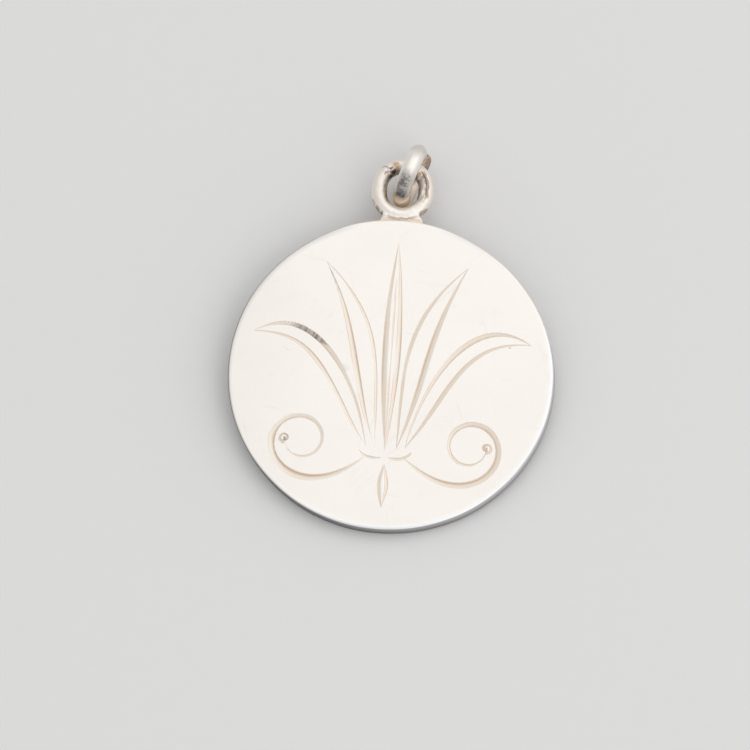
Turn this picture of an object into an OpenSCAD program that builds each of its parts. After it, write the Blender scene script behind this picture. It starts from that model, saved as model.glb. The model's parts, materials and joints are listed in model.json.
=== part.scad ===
// Round silver pendant: an engraved disc with a soldered wire loop, and a jump ring through the loop.
// It lies face up on a flat surface, propped by the jump ring that stands in its loop.
// Millimetres, +Z up. The origin is under the middle of the whole pendant, on the surface that it lies on.

/* [Disc] */
// Diameter of the disc
disc_d = 22; // [18:0.5:26]
// Thickness of the disc
disc_t = 0.95; // [0.8:0.05:1.4]
// Radius of the rounded edge, front and back
edge_r = 0.1; // [0.06:0.02:0.3]

/* [Engraving] */
// Depth of the cuts
cut_depth = 0.12; // [0.06:0.02:0.2]
// Plain margin between the ornament's top and bottom and the edge of the disc
ornament_margin = 1.5; // [1.2:0.1:3]
// Width of a fine cut
fine_cut = 0.12; // [0.08:0.02:0.2]
// Width of a full cut where it is widest
full_cut = 0.46; // [0.3:0.02:0.6]
// Outer diameter of the punched eye that ends each curl
eye_d = 0.7; // [0.5:0.05:0.9]

/* [Loop] */
// Diameter of the loop's wire
loop_wire = 1.05; // [0.8:0.05:1.3]
// Width of the hole through the loop
loop_hole = 2.15; // [1.9:0.05:3]
// How much longer than wide the hole is
loop_long = 0.4; // [0.1:0.05:0.8]
// Gap between the edge of the disc and the loop's wire, filled by the solder neck
neck_gap = 0.2; // [0.1:0.05:1]
// Width of the solder neck at the loop
neck_w = 2.5; // [1.6:0.1:2.6]
// How far each side of the neck spreads out towards the disc
neck_flare = 0.35; // [0.1:0.05:0.8]
// How far the neck's front lies below the disc's face, and its back above the disc's back
neck_step = 0.04; // [0.02:0.01:0.15]

/* [Jump ring] */
// Diameter of the jump ring's wire
ring_wire = 1.15; // [0.9:0.05:1.2]
// Hole through the jump ring
ring_hole = 2.24; // [1.9:0.02:3]
// Turn of the jump ring in the loop, clockwise from straight ahead
ring_turn = 19; // [0:1:30]
// Lean of the jump ring's top to the right
ring_lean = 5; // [0:1:12]
// How far the jump ring sags round the loop's wire, from level with it
ring_sag = 21; // [0:1:40]
// Gap between the jump ring's wire and the loop's
wire_gap = 0.05; // [0.03:0.01:0.1]

/* [Hidden] */
silver = [0.86, 0.84, 0.80];
polished_silver = [0.78, 0.77, 0.75];

disc_r = disc_d / 2;
ornament_r = disc_r - ornament_margin;
neck_t = disc_t - 2 * neck_step;
loop_mid_r = (loop_hole + loop_wire) / 2;
near_y = disc_r + neck_gap + loop_wire / 2 + loop_mid_r;
far_y = near_y + loop_long;
ring_mid_r = (ring_hole + ring_wire) / 2;

// Steps along a leaf's cut, along a curl, round an edge and round the sides of the neck
cut_steps = 10;
curl_steps = 30;
edge_steps = 5;
neck_steps = 5;
// How far the neck reaches in under the disc's edge
neck_root = 0.3;
// How far a cutting shape stands above the face
cut_over = 0.5;
// Width of a cut at its very end, as a share of the fine cut
cut_tip = 0.35;
// Share of a cut's length over which its end widens to the fine cut
cut_lead = 0.1;
// How quickly a cut swells towards its widest place
cut_swell = 1.3;

// Leaf cuts: start x and y, heading there, end x and y, heading there, pull of both headings,
// fullness of the swelling, where it is widest, and 2 where the other half has its mirror image.
// Places and pull are shares of the ornament's half height and of the cut's own length.
LEAF_CUTS = [
    [0.00, -0.58,  83, 0.00,  1.00,   97, 0.40, 0.85, 0.45, 2],
    [0.00, -0.52,  90, 0.00,  0.72,   90, 0.40, 0.10, 0.45, 1],
    [0.08, -0.56,  89, 0.51,  0.83,   42, 0.42, 0.50, 0.50, 2],
    [0.08, -0.56,  72, 0.51,  0.83,   62, 0.42, 1.00, 0.45, 2],
    [0.14, -0.55,  79, 0.99,  0.27,  -32, 0.42, 0.85, 0.62, 2],
    [0.14, -0.55,  56, 0.99,  0.27,   -4, 0.42, 0.65, 0.45, 2],
    [0.00, -0.68, -72, 0.00, -1.00, -108, 0.40, 0.40, 0.45, 2],
    [0.02, -0.63,  -8, 0.19, -0.58,   50, 0.40, 0.45, 0.45, 2]
];
// Curls: start x and y, heading there, length, whole turn, how late the turn comes,
// fullness and where it is widest. All have their mirror image.
CURLS = [
    [0.14, -0.63, -38, 1.80, 490, 1.75, 1.10, 0.36]
];
// Eye at the end of a curl: inner edge of its ring and its middle point, as shares of its diameter
eye_inner = 0.62;
eye_point = 0.24;

// Point of a leaf cut at share t of its way
function leaf_point(row, t) =
    let (reach = row[6] * norm([row[3] - row[0], row[4] - row[1]]),
         start = [row[0], row[1]],
         end = [row[3], row[4]],
         out = start + reach * [cos(row[2]), sin(row[2])],
         in = end - reach * [cos(row[5]), sin(row[5])])
    ornament_r * (pow(1 - t, 3) * start + 3 * t * pow(1 - t, 2) * out
                  + 3 * t * t * (1 - t) * in + pow(t, 3) * end);

function leaf_path(row) = [for (i = [0:cut_steps]) leaf_point(row, i / cut_steps)];

// Heading of a curl halfway through step i
function curl_heading(row, i) = row[2] + row[4] * pow((i + 0.5) / curl_steps, row[5]);

// Path of a curl: equal steps along a heading that turns ever faster
function curl_path(row) =
    let (step = ornament_r * row[3] / curl_steps)
    [for (i = 0, p = ornament_r * [row[0], row[1]];
          i <= curl_steps;
          p = p + step * [cos(curl_heading(row, i)), sin(curl_heading(row, i))], i = i + 1) p];

// Width of a cut at share t of its way
function cut_width(t, fullness, widest) =
    fine_cut * min(1, cut_tip + (1 - cut_tip) * min(t, 1 - t) / cut_lead)
    + max(full_cut - fine_cut, 0) * fullness * pow(sin(180 * pow(t, ln(0.5) / ln(widest))), cut_swell);

// Unit vector across a path at its point i
function path_side(path, i) =
    let (d = path[min(i + 1, len(path) - 1)] - path[max(i - 1, 0)])
    [-d[1], d[0]] / norm(d);

// Outline of a cut: its left edge on the way out and its right edge on the way back
function cut_outline(path, fullness, widest) =
    let (n = len(path) - 1,
         half = [for (i = [0:n]) path_side(path, i) * cut_width(i / n, fullness, widest) / 2])
    concat([for (i = [0:n]) path[i] + half[i]], [for (i = [n:-1:0]) path[i] - half[i]]);

// One cut, sunk into the face
module cut(path, fullness, widest) {
    translate([0, 0, disc_t / 2 - cut_depth])
        linear_extrude(cut_depth + cut_over)
            polygon(cut_outline(path, fullness, widest));
}

// Punched eye: a ring and a point
module eye(place) {
    translate([place[0], place[1], disc_t / 2 - cut_depth]) {
        difference() {
            cylinder(d = eye_d, h = cut_depth + cut_over, $fn = 32);
            translate([0, 0, -cut_depth])
                cylinder(d = eye_d * eye_inner, h = 3 * cut_depth + cut_over, $fn = 32);
        }
        cylinder(d = eye_d * eye_point, h = cut_depth + cut_over, $fn = 24);
    }
}

// The ornament: a spray of leaves over a tie, with a drop below and a curl on each side
module engraving() {
    for (row = LEAF_CUTS)
        for (half = [1:row[9]])
            mirror([half - 1, 0, 0])
                cut(leaf_path(row), row[7], row[8]);
    for (row = CURLS)
        for (half = [0, 1])
            mirror([half, 0, 0]) {
                cut(curl_path(row), row[6], row[7]);
                eye(curl_path(row)[curl_steps]);
            }
}

// Half section of the disc, with its rounded edge
function rim_arc(sign) =
    [for (i = [0:edge_steps])
        let (a = 90 * i / edge_steps)
        [disc_r - edge_r + edge_r * cos(a), sign * (disc_t / 2 - edge_r + edge_r * sin(a))]];

function reversed(list) = [for (i = [len(list) - 1:-1:0]) list[i]];

module blank() {
    rotate_extrude($fn = 180)
        polygon(concat([[0, -disc_t / 2]], reversed(rim_arc(-1)), rim_arc(1), [[0, disc_t / 2]]));
}

// Half a ring of the loop's wire, on the far side of its middle
module half_ring() {
    rotate_extrude(angle = 180, $fn = 96)
        translate([loop_mid_r, 0])
            circle(d = loop_wire, $fn = 32);
}

// Loop of round wire: two half rings and two straight sides
module loop() {
    translate([0, far_y, 0])
        half_ring();
    translate([0, near_y, 0])
        mirror([0, 1, 0])
            half_ring();
    for (side = [-1, 1])
        translate([side * loop_mid_r, near_y, 0])
            rotate([-90, 0, 0])
                cylinder(d = loop_wire, h = loop_long, $fn = 32);
}

// Right side of the neck: leaves along the disc's edge and turns up towards the loop
neck_base_y = sqrt(pow(disc_r, 2) - pow(neck_w / 2 + neck_flare, 2));
neck_top_y = near_y - loop_mid_r;
neck_side = [for (i = [0:neck_steps])
    let (a = 90 * i / neck_steps)
    [neck_w / 2 + neck_flare * (1 - sin(a)), neck_top_y - (neck_top_y - neck_base_y) * cos(a)]];

// Solder neck, from under the disc's edge to the middle of the loop's wire
module neck() {
    right = concat([[neck_side[0][0], neck_base_y - neck_root]], neck_side, [[neck_w / 2, near_y]]);
    difference() {
        translate([0, 0, -neck_t / 2])
            linear_extrude(neck_t)
                polygon(concat(right, [for (p = reversed(right)) [-p[0], p[1]]]));
        translate([0, near_y, -neck_t])
            cylinder(r = loop_mid_r, h = 2 * neck_t, $fn = 96);
    }
}

// Place of the jump ring in the loop, before the pendant is tilted. Upright, its plane goes through the
// middle of the loop's far half ring. In that plane the ring goes round the far wire at wire_reach, and
// sags by ring_sag round it. A ring that is longer than the loop sags further, until it clears the near
// wire as well. loop_span is the distance from the far wire to the near one. The ring then leans by
// ring_lean about its middle, and ring_axis is the direction that its hole faces.
wire_reach = (ring_wire + loop_wire) / 2 + wire_gap;
loop_span = loop_mid_r + loop_long * cos(ring_turn)
    + sqrt(pow(loop_mid_r, 2) - pow(loop_long * sin(ring_turn), 2));
level = (loop_span / 2 - 2 * ring_mid_r * wire_reach / loop_span) / (ring_mid_r - wire_reach);
sag = max(ring_sag, level < 1 ? acos(level) : 0);
ring_ahead = loop_mid_r - (ring_mid_r - wire_reach) * cos(sag);
ring_x = ring_ahead * sin(ring_turn);
ring_y = far_y + ring_ahead * cos(ring_turn);
ring_z = -(ring_mid_r - wire_reach) * sin(sag);
ring_axis = [cos(ring_turn) * cos(ring_lean), -sin(ring_turn) * cos(ring_lean), -sin(ring_lean)];

// Tilt at which the disc's near edge and the jump ring touch the surface together.
// stand is how far the ring's middle circle reaches down, as a share of its radius.
function tilt_for(stand) =
    let (a = ring_y + disc_r - edge_r,
         b = ring_z + disc_t / 2 - edge_r)
    asin((ring_mid_r * stand + ring_wire / 2 - edge_r) / norm([a, b])) - atan2(b, a);
tilt = tilt_for(sqrt(1 - pow(ring_axis[1] * sin(tilt_for(1)) + ring_axis[2] * cos(tilt_for(1)), 2)));

// Lowest and nearest reach of the tilted disc, and furthest reach of the tilted ring
disc_low = (disc_r - edge_r) * sin(tilt) + (disc_t / 2 - edge_r) * cos(tilt) + edge_r;
disc_near = (disc_r - edge_r) * cos(tilt) + (disc_t / 2 - edge_r) * sin(tilt) + edge_r;
ring_far = ring_y * cos(tilt) - ring_z * sin(tilt)
    + ring_mid_r * sqrt(1 - pow(ring_axis[1] * cos(tilt) - ring_axis[2] * sin(tilt), 2)) + ring_wire / 2;

// Lays the pendant on the surface, with the middle of its whole length over the origin
module laid() {
    translate([0, (disc_near - ring_far) / 2, disc_low])
        rotate([tilt, 0, 0])
            children();
}

// Engraved disc with its soldered loop
module disc() {
    color(silver)
        laid()
            difference() {
                union() {
                    blank();
                    neck();
                    loop();
                }
                engraving();
            }
}

// Plain round wire ring through the loop
module jump_ring() {
    color(polished_silver)
        laid()
            translate([ring_x, ring_y, ring_z])
                rotate([0, 0, -ring_turn])
                    rotate([0, 90 + ring_lean, 0])
                        rotate_extrude($fn = 96)
                            translate([ring_mid_r, 0])
                                circle(d = ring_wire, $fn = 32);
}

disc();
jump_ring();
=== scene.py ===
"""Looks of an engraved silver disc pendant: the disc with its soldered loop, and the jump ring in the loop.

Each piece is modelled flat, in millimetres, with the middle of the disc at the origin and the loop towards
+Y. It is then laid on the surface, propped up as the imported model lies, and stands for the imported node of
its name.
"""

import json
import logging
import math
import random
from collections.abc import Callable, Iterable, Iterator
from contextlib import contextmanager
from dataclasses import dataclass, field
from enum import Enum
from functools import reduce
from typing import ClassVar

import bpy
from mathutils import Matrix, Vector


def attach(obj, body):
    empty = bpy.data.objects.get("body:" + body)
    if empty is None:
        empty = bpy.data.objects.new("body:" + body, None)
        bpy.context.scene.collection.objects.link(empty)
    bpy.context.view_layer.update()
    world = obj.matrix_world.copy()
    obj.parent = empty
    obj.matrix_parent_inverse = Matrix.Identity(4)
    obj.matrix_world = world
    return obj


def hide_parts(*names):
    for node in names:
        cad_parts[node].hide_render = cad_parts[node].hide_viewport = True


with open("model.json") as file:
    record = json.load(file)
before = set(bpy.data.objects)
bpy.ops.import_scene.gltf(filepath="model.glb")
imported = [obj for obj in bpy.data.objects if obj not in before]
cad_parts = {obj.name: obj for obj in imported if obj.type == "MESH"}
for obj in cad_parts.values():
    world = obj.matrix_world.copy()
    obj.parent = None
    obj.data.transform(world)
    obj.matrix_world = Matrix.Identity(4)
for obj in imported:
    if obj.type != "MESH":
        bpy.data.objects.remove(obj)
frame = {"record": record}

LOG = logging.getLogger("pendant")
MM = 0.001
SMOOTH_ANGLE = math.radians(32)
Pair = tuple[float, float]
Triple = tuple[float, float, float]
Colour = tuple[float, float, float, float]
Band = tuple[float, float, float, float]


# Small sums


def ease(share: float) -> float:
    """Smooth step: a share from 0 to 1, eased at both ends."""
    return share * share * (3 - 2 * share)


def limited(value: float, low: float, high: float) -> float:
    """A value kept between two limits."""
    return min(max(value, low), high)


def heading(turn: float) -> Vector:
    """Unit vector at an angle in radians, from +X towards +Y."""
    return Vector((math.cos(turn), math.sin(turn)))


# Hand tools


def only(piece: bpy.types.Object) -> None:
    """Deselects everything, then selects one piece and makes it active."""
    bpy.ops.object.select_all(action="DESELECT")
    piece.select_set(True)
    bpy.context.view_layer.objects.active = piece


def named(name: str) -> bpy.types.Object:
    """Names the piece that an operator has just added, and its mesh, and returns it."""
    piece = bpy.context.object
    piece.name = piece.data.name = name
    return piece


def modify(piece: bpy.types.Object, kind: str, **settings: object) -> None:
    """Adds a modifier to a piece and applies it.

    Args:
        piece: The piece to change.
        kind: The modifier's type.
        settings: The modifier's settings.
    """
    only(piece)
    modifier = piece.modifiers.new(kind.title(), kind)
    for name, value in settings.items():
        setattr(modifier, name, value)
    bpy.ops.object.modifier_apply(modifier=modifier.name)


def settle_place(piece: bpy.types.Object) -> None:
    """Puts a piece's place, turn and size into its mesh."""
    only(piece)
    bpy.ops.object.transform_apply(location=True, rotation=True, scale=True)


def lay_down(piece: bpy.types.Object, to_world: Matrix) -> None:
    """Moves a finished piece to its place and smooths its shading.

    Args:
        piece: The piece, in millimetres in its own frame.
        to_world: From that frame, in metres, to the world.
    """
    piece.matrix_world = to_world @ Matrix.Scale(MM, 4)
    settle_place(piece)
    bpy.ops.object.shade_smooth_by_angle(angle=SMOOTH_ANGLE)


@contextmanager
def shaping(piece: bpy.types.Object, chosen: Callable[[Vector], bool]) -> Iterator[None]:
    """Edit mode on one piece, with the chosen vertices selected.

    Args:
        piece: The piece to shape.
        chosen: Says of a vertex's place whether it is selected.

    Yields:
        Nothing, while the piece is in edit mode.
    """
    only(piece)
    bpy.ops.object.mode_set(mode="EDIT")
    bpy.ops.mesh.select_mode(type="VERT")
    bpy.ops.mesh.select_all(action="DESELECT")
    bpy.ops.object.mode_set(mode="OBJECT")
    for vertex in piece.data.vertices:
        vertex.select = chosen(vertex.co)
    bpy.ops.object.mode_set(mode="EDIT")
    yield
    bpy.ops.object.mode_set(mode="OBJECT")


def carve(piece: bpy.types.Object, tool: bpy.types.Object, operation: str = "DIFFERENCE") -> None:
    """Cuts a tool's shape out of a piece, or joins it on, and removes the tool.

    Args:
        piece: The piece to change.
        tool: The closed shape to cut with.
        operation: The Boolean operation.
    """
    modify(piece, "BOOLEAN", operation=operation, solver="MANIFOLD", object=tool)
    bpy.data.objects.remove(tool, do_unlink=True)


def weather(piece: bpy.types.Object, grain: float, strength: float) -> None:
    """Pushes a piece's surface in and out by soft clouds.

    Args:
        piece: The piece to change.
        grain: Size of the clouds.
        strength: How far apart the highest and the lowest places come.
    """
    clouds = bpy.data.textures.new("wear", "CLOUDS")
    clouds.noise_scale = grain
    modify(piece, "DISPLACE", texture=clouds, texture_coords="LOCAL", strength=strength, mid_level=0.5)


def ball(name: str, radius: float, spot: Triple) -> bpy.types.Object:
    """Adds a small ball, to press a round mark with."""
    bpy.ops.mesh.primitive_uv_sphere_add(segments=16, ring_count=10, radius=radius, location=spot)
    return named(name)


def drawn(name: str, path: list[Vector] | list[Pair], closed: bool) -> bpy.types.Object:
    """Draws a flat curve of straight steps.

    Args:
        name: Name of the curve.
        path: Its points.
        closed: Whether it runs back to its start.

    Returns:
        The curve.
    """
    curve = bpy.data.curves.new(name, "CURVE")
    curve.dimensions = "2D"
    curve.fill_mode = "NONE"
    line = curve.splines.new("POLY")
    line.points.add(len(path) - 1)
    for point, (x, y) in zip(line.points, path):
        point.co = (x, y, 0, 1)
    line.use_cyclic_u = closed
    piece = bpy.data.objects.new(name, curve)
    bpy.context.scene.collection.objects.link(piece)
    return piece


@dataclass(frozen=True)
class Dent:
    """A soft dent: a place near its middle, how far and which way that moves, and the dent's reach."""

    place: Triple
    push: Triple
    reach: float

    def press(self, piece: bpy.types.Object) -> None:
        """Presses the dent into a piece, round the vertex that is nearest to its place.

        Args:
            piece: The piece to dent.
        """
        place, push = Vector(self.place), Vector(self.push)
        nearest = min(piece.data.vertices, key=lambda vertex: (vertex.co - place).length_squared)
        middle = nearest.co.copy()
        for vertex in piece.data.vertices:
            share = 1 - (vertex.co - middle).length / self.reach
            if share > 0:
                vertex.co += push * ease(share)


# Shader sums


class Value:
    """A number that varies over a surface. A sum written with it adds its Math nodes."""

    def __init__(self, sheet: "Sheet", socket: bpy.types.NodeSocket) -> None:
        """Wraps an output socket of a sheet's tree."""
        self.sheet = sheet
        self.socket = socket

    def _sum(self, operation: str, first: "Value | float", second: "Value | float" = 0.0) -> "Value":
        """Adds one Math node and returns its result."""
        made = self.sheet.node("ShaderNodeMath", {"operation": operation}, {0: first, 1: second})
        return Value(self.sheet, made.outputs[0])

    def __add__(self, other: "Value | float") -> "Value":
        """Sum."""
        return self._sum("ADD", self, other)

    def __sub__(self, other: "Value | float") -> "Value":
        """Difference."""
        return self._sum("SUBTRACT", self, other)

    def __rsub__(self, other: float) -> "Value":
        """Difference from a plain number."""
        return self._sum("SUBTRACT", other, self)

    def __mul__(self, other: "Value | float") -> "Value":
        """Product."""
        return self._sum("MULTIPLY", self, other)

    __radd__ = __add__
    __rmul__ = __mul__

    def __abs__(self) -> "Value":
        """Size without its sign."""
        return self._sum("ABSOLUTE", self)

    def root(self) -> "Value":
        """Square root."""
        return self._sum("SQRT", self)

    def angle(self, across: "Value") -> "Value":
        """Angle whose sine side is this value and whose cosine side is the other."""
        return self._sum("ARCTAN2", self, across)

    def most(self, other: "Value | float") -> "Value":
        """The larger of two."""
        return self._sum("MAXIMUM", self, other)

    def least(self, other: "Value | float") -> "Value":
        """The smaller of two."""
        return self._sum("MINIMUM", self, other)

    def rise(self, low: float, high: float) -> "Value":
        """Smooth step from 0 at low to 1 at high, or back down where high is the smaller."""
        made = self.sheet.node("ShaderNodeMapRange", {"interpolation_type": "SMOOTHSTEP"},
                               {"Value": self, "From Min": low, "From Max": high})
        return Value(self.sheet, made.outputs[0])

    def band(self, start: float, full: float, fading: float, end: float) -> "Value":
        """Smooth step up from start to full, and down again from fading to end."""
        return self.rise(start, full) * self.rise(end, fading)


Place = tuple[Value, Value, Value]


def length(*parts: Value) -> Value:
    """Length of a vector with these parts."""
    return sum(part * part for part in parts).root()


def strongest(values: Iterable[Value]) -> Value:
    """The largest of some values at each place."""
    return reduce(Value.most, values)


@dataclass(frozen=True)
class Hair:
    """Fine broken lines that run one way.

    The turn is their direction in degrees. Their number a millimetre is given across them and along them,
    the width is half the share of their spacing that they fill, and the shift picks a part of the pattern.
    They lie in patches, so many a millimetre, and are shown where those are strong enough.
    """

    turn: float
    across: float
    along: float
    width: float
    shift: float
    patches: ClassVar[float] = 0.45
    shown: ClassVar[Pair] = (0.5, 0.62)


class Sheet:
    """One material's node tree, with the few kinds of pattern that the finishes are made of."""

    # Full depth of a metal's fine relief, in metres
    relief = 0.004 * MM

    def __init__(self, name: str) -> None:
        """Makes an empty material.

        Args:
            name: Name of the material.
        """
        self.material = bpy.data.materials.new(name)
        self.material.use_nodes = True
        self.tree = self.material.node_tree
        self.tree.nodes.clear()

    def node(self, kind: str, settings: dict[str, object],
             inputs: dict[int | str, object]) -> bpy.types.Node:
        """Adds a node.

        Args:
            kind: The node's type.
            settings: Its own settings, which are set first.
            inputs: Values or links for its sockets.

        Returns:
            The node.
        """
        made = self.tree.nodes.new(kind)
        for name, value in settings.items():
            setattr(made, name, value)
        for name, value in inputs.items():
            source = value.socket if isinstance(value, Value) else value
            if isinstance(source, bpy.types.NodeSocket):
                self.tree.links.new(source, made.inputs[name])
            else:
                made.inputs[name].default_value = source
        return made

    def place(self, to_world: Matrix) -> bpy.types.NodeSocket:
        """Place in a piece's own frame, in millimetres.

        Args:
            to_world: Where that frame stands in the world, in metres.

        Returns:
            The vector socket.
        """
        spot, turn, _ = to_world.decompose()
        whole = self.node("ShaderNodeTexCoord", {}, {})
        return self.node("ShaderNodeMapping", {"vector_type": "TEXTURE"},
                         {"Vector": whole.outputs["Object"], "Location": spot,
                          "Rotation": turn.to_euler("XYZ"), "Scale": (MM, MM, MM)}).outputs[0]

    def parts(self, vector: bpy.types.NodeSocket) -> Place:
        """The x, y and z of a vector."""
        split = self.node("ShaderNodeSeparateXYZ", {}, {0: vector})
        return Value(self, split.outputs[0]), Value(self, split.outputs[1]), Value(self, split.outputs[2])

    def stretched(self, vector: bpy.types.NodeSocket, turn: float, scale: Triple,
                  shift: float = 0.0) -> bpy.types.NodeSocket:
        """Turns and scales a pattern's vector.

        Args:
            vector: Place in millimetres.
            turn: Turn about Z, in degrees.
            scale: Scale in each direction, after the turn.
            shift: Which part of the pattern is used.

        Returns:
            The vector socket.
        """
        turned = self.node("ShaderNodeMapping", {"vector_type": "POINT"},
                           {"Vector": vector, "Rotation": (0, 0, math.radians(turn)),
                            "Location": (shift, shift, shift)})
        return self.node("ShaderNodeVectorMath", {"operation": "MULTIPLY"},
                         {0: turned.outputs[0], 1: scale}).outputs[0]

    def noise(self, vector: bpy.types.NodeSocket, scale: float, detail: float = 2.0,
              roughness: float = 0.5) -> Value:
        """Draws a cloudy pattern.

        Args:
            vector: Place in millimetres.
            scale: Clouds a millimetre.
            detail: How many finer layers it has.
            roughness: How strong those are.

        Returns:
            The pattern, from 0 to 1.
        """
        made = self.node("ShaderNodeTexNoise", {}, {"Vector": vector, "Scale": scale, "Detail": detail,
                                                    "Roughness": roughness})
        return Value(self, made.outputs[0])

    def warped(self, vector: bpy.types.NodeSocket, scale: float, reach: float) -> bpy.types.NodeSocket:
        """Pushes a vector about by clouds.

        Args:
            vector: Place in millimetres.
            scale: Clouds a millimetre.
            reach: Twice the furthest push.

        Returns:
            The vector socket.
        """
        clouds = self.node("ShaderNodeTexNoise", {}, {"Vector": vector, "Scale": scale, "Detail": 2.0})
        centred = self.node("ShaderNodeVectorMath", {"operation": "SUBTRACT"},
                            {0: clouds.outputs["Color"], 1: (0.5, 0.5, 0.5)})
        pushed = self.node("ShaderNodeVectorMath", {"operation": "MULTIPLY_ADD"},
                           {0: centred.outputs[0], 1: (reach, reach, reach), 2: vector})
        return pushed.outputs[0]

    def hairlines(self, vector: bpy.types.NodeSocket, hair: Hair) -> Value:
        """Draws fine broken lines.

        Args:
            vector: Place in millimetres.
            hair: The lines.

        Returns:
            1 on a line and 0 off it.
        """
        long = self.stretched(vector, hair.turn, (hair.along, hair.across, 1.0), hair.shift)
        lines = abs(self.noise(long, 1.0, 0.0) - 0.5).rise(hair.width, 0.0)
        elsewhere = self.stretched(vector, hair.turn, (1, 1, 1), hair.shift + 7)
        return lines * self.noise(elsewhere, hair.patches, 1.0).rise(*hair.shown)

    def mix(self, share: Value, first: object, second: object) -> bpy.types.NodeSocket:
        """Blends two colours, which are sockets 6 and 7 of a Mix node. Its output 2 is their blend."""
        blend = self.node("ShaderNodeMix", {"data_type": "RGBA"}, {0: share, 6: first, 7: second})
        return blend.outputs[2]

    def coats(self, base: object, coats: Iterable[tuple[Value, object]]) -> bpy.types.NodeSocket:
        """Lays coats over a base colour.

        Args:
            base: The colour under them.
            coats: How much of the surface each coat covers, and its colour, from the lowest up.

        Returns:
            The colour socket.
        """
        for share, coat in coats:
            base = self.mix(share, base, coat)
        return base

    def metal(self, colour: object, roughness: Value, height: Value, bare: Value) -> None:
        """Finishes the sheet as a metal.

        Args:
            colour: Its colour.
            roughness: Its roughness.
            height: Its relief, in shares of the full depth.
            bare: How much of it is bare metal; the rest is a film: tarnish, and on the ring also a dull film
                under painted colour.
        """
        bump = self.node("ShaderNodeBump", {}, {"Height": height, "Distance": self.relief, "Strength": 1.0})
        skin = self.node("ShaderNodeBsdfPrincipled", {},
                         {"Base Color": colour, "Metallic": bare, "Roughness": roughness,
                          "Normal": bump.outputs[0]})
        self.node("ShaderNodeOutputMaterial", {}, {0: skin.outputs[0]})

    def cover(self, piece: bpy.types.Object) -> None:
        """Puts this material on a piece, in place of any other."""
        piece.data.materials.clear()
        piece.data.materials.append(self.material)


# Place of the pendant


def mount(record: dict, name: str) -> dict:
    """The record's mount of that name."""
    return next(each for each in record["mounts"] if each["name"] == name)


@dataclass(frozen=True)
class Lay:
    """How the pendant lies: where the middle of its disc is, and how far its loop end is propped up."""

    middle: Vector
    tilt: float

    @classmethod
    def from_record(cls, record: dict, half_thick: float) -> "Lay":
        """Reads the lay from the record's flat back.

        Args:
            record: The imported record.
            half_thick: Half the disc's thickness in millimetres.

        Returns:
            The lay.
        """
        back = mount(record, "back_face")
        down = Vector(back["axis"]).normalized()
        return cls(Vector(back["pos_m"]) - down * half_thick * MM, math.atan2(down.y, -down.z))

    def to_world(self) -> Matrix:
        """From the pendant's own frame, in metres, to the world."""
        return Matrix.Translation(self.middle) @ Matrix.Rotation(self.tilt, 4, "X")

    def ring_to_world(self, record: dict) -> Matrix:
        """From the jump ring's own frame, in metres, to the world.

        Its Z is the ring's axis, its X points down through the pendant and its Y away from the disc.

        Args:
            record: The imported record, whose chain hole is the middle of the ring.

        Returns:
            The matrix.
        """
        hole = mount(record, "chain_hole")
        axis = Vector(hole["axis"]).normalized()
        down = self.to_world().to_3x3() @ Vector((0, 0, -1))
        down = (down - down.dot(axis) * axis).normalized()
        own = Matrix((down, axis.cross(down), axis)).transposed().to_4x4()
        own.translation = Vector(hole["pos_m"])
        return own


# Engraving


class Lean(Enum):
    """The side that the graver leans to, on its way along a cut. The wall on that side is the wide one."""

    LEFT = 1.0
    RIGHT = -1.0


@dataclass(frozen=True)
class Cut:
    """One engraved line: how its width swells, and how steady the hand was.

    Its very end is a share of the fine width, its tip, and widens to that over its lead. The swell says how
    quickly it fills out towards its widest place.
    """

    start: Pair
    heading: float
    fullness: float
    widest: float
    lean: Lean
    chatter: float
    tip: ClassVar[float] = 0.35
    lead: ClassVar[float] = 0.1
    swell: ClassVar[float] = 1.3

    def width(self, share: float, fine: float, full: float) -> float:
        """Width at a place along the line.

        Args:
            share: Share of the way to there.
            fine: Width of a fine line, in millimetres.
            full: Width of a full one.

        Returns:
            The width.
        """
        end = min(1.0, self.tip + (1 - self.tip) * min(share, 1 - share) / self.lead)
        fill = math.sin(math.pi * share ** (math.log(0.5) / math.log(self.widest)))
        return fine * end + (full - fine) * self.fullness * max(fill, 0.0) ** self.swell


@dataclass(frozen=True)
class LeafCut(Cut):
    """An open curve: where it ends, its heading there, and how far both headings pull."""

    end: Pair
    end_heading: float
    pull: float
    mirrored: bool = True

    def path(self, size: float, steps: int) -> list[Vector]:
        """Points along the cut.

        Args:
            size: Half height of the ornament, in millimetres.
            steps: Number of steps.

        Returns:
            The points.
        """
        start, end = Vector(self.start), Vector(self.end)
        reach = self.pull * (end - start).length
        out = start + reach * heading(math.radians(self.heading))
        back = end - reach * heading(math.radians(self.end_heading))
        points = []
        for i in range(steps + 1):
            t = i / steps
            left = 1 - t
            points.append(size * (left ** 3 * start + 3 * t * left ** 2 * out + 3 * t * t * left * back
                                  + t ** 3 * end))
        return points


@dataclass(frozen=True)
class CurlCut(Cut):
    """A curl: its length, its whole turn in degrees, and how late the turn comes."""

    length: float
    turn: float
    late: float
    mirrored: bool = True

    def path(self, size: float, steps: int) -> list[Vector]:
        """Points along the curl.

        Args:
            size: Half height of the ornament, in millimetres.
            steps: Number of steps.

        Returns:
            The points.
        """
        spot = size * Vector(self.start)
        points = [spot.copy()]
        for i in range(steps):
            way = math.radians(self.heading + self.turn * ((i + 0.5) / steps) ** self.late)
            spot = spot + size * self.length / steps * heading(way)
            points.append(spot.copy())
        return points


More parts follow.
